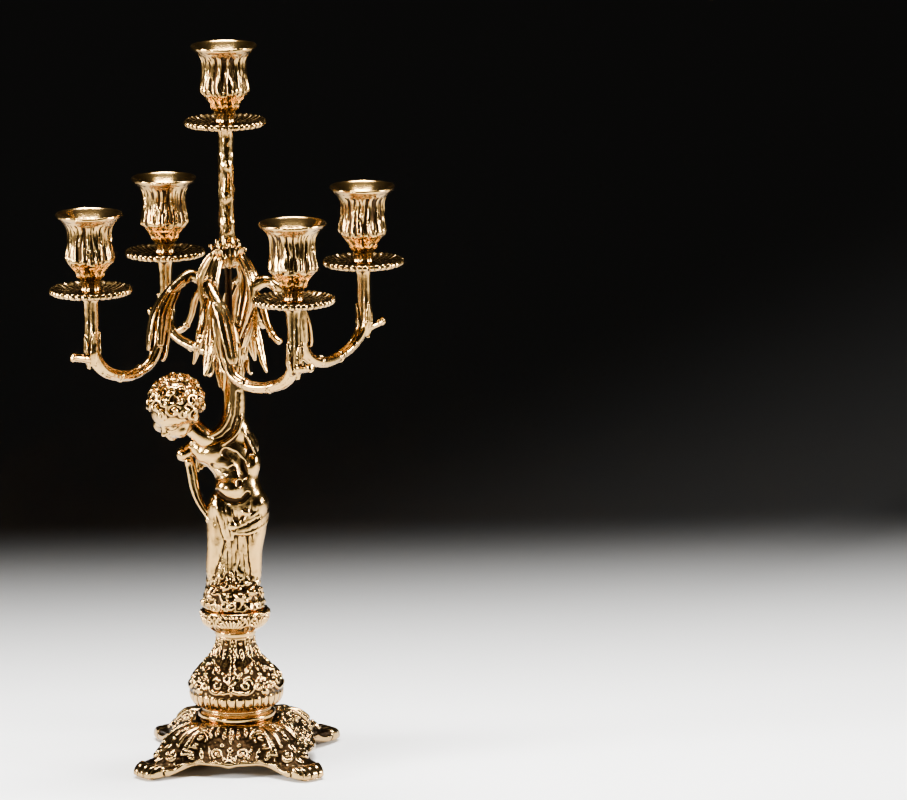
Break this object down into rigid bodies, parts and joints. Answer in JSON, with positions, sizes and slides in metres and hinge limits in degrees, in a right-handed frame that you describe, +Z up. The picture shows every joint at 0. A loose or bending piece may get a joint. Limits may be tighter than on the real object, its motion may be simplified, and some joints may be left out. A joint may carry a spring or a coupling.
{
  "type": "tabletop candelabra",
  "caption": "Branched table candelabra: a cast putto on a baluster foot holds a leafy cage of scroll arms and a taller middle stem, with drip pans and candle sockets.",
  "frame": {"origin": "on the floor, on the column's axis, under the middle of the base", "axes": "+Z up along the column; the front of the base faces -Y; +X to its right"},
  "size_m": [0.2092, 0.2092, 0.453],
  "materials": {
    "gilt_brass": "polished cast brass with dark patina in the recesses",
    "dark_gilt_brass": "polished cast brass with heavier brown patina",
    "steel_fasteners": "plain zinc-plated steel"
  },
  "bodies": {
    "root": {"base_casting": "dark_gilt_brass", "foot_ring": "gilt_brass", "bulb": "gilt_brass", "neck_ring": "gilt_brass", "collar": "gilt_brass", "tie_rod": "steel_fasteners", "base_washer": "steel_fasteners", "base_nut": "steel_fasteners", "figure_body": "gilt_brass", "figure_head": "gilt_brass", "figure_bent_arm": "gilt_brass", "figure_stud": "steel_fasteners", "lower_hub": "gilt_brass", "cage_rod": "dark_gilt_brass", "upper_hub": "gilt_brass", "stem": "gilt_brass", "arm_1": "gilt_brass", "arm_2": "gilt_brass", "arm_3": "gilt_brass", "arm_4": "gilt_brass", "pan_top": "gilt_brass", "pan_1": "gilt_brass", "pan_2": "gilt_brass", "pan_3": "gilt_brass", "pan_4": "gilt_brass", "socket_top": "gilt_brass", "socket_1": "gilt_brass", "socket_2": "gilt_brass", "socket_3": "gilt_brass", "socket_4": "gilt_brass", "stud_top": "steel_fasteners", "stud_1": "steel_fasteners", "stud_2": "steel_fasteners", "stud_3": "steel_fasteners", "stud_4": "steel_fasteners"}
  },
  "joints": []
}
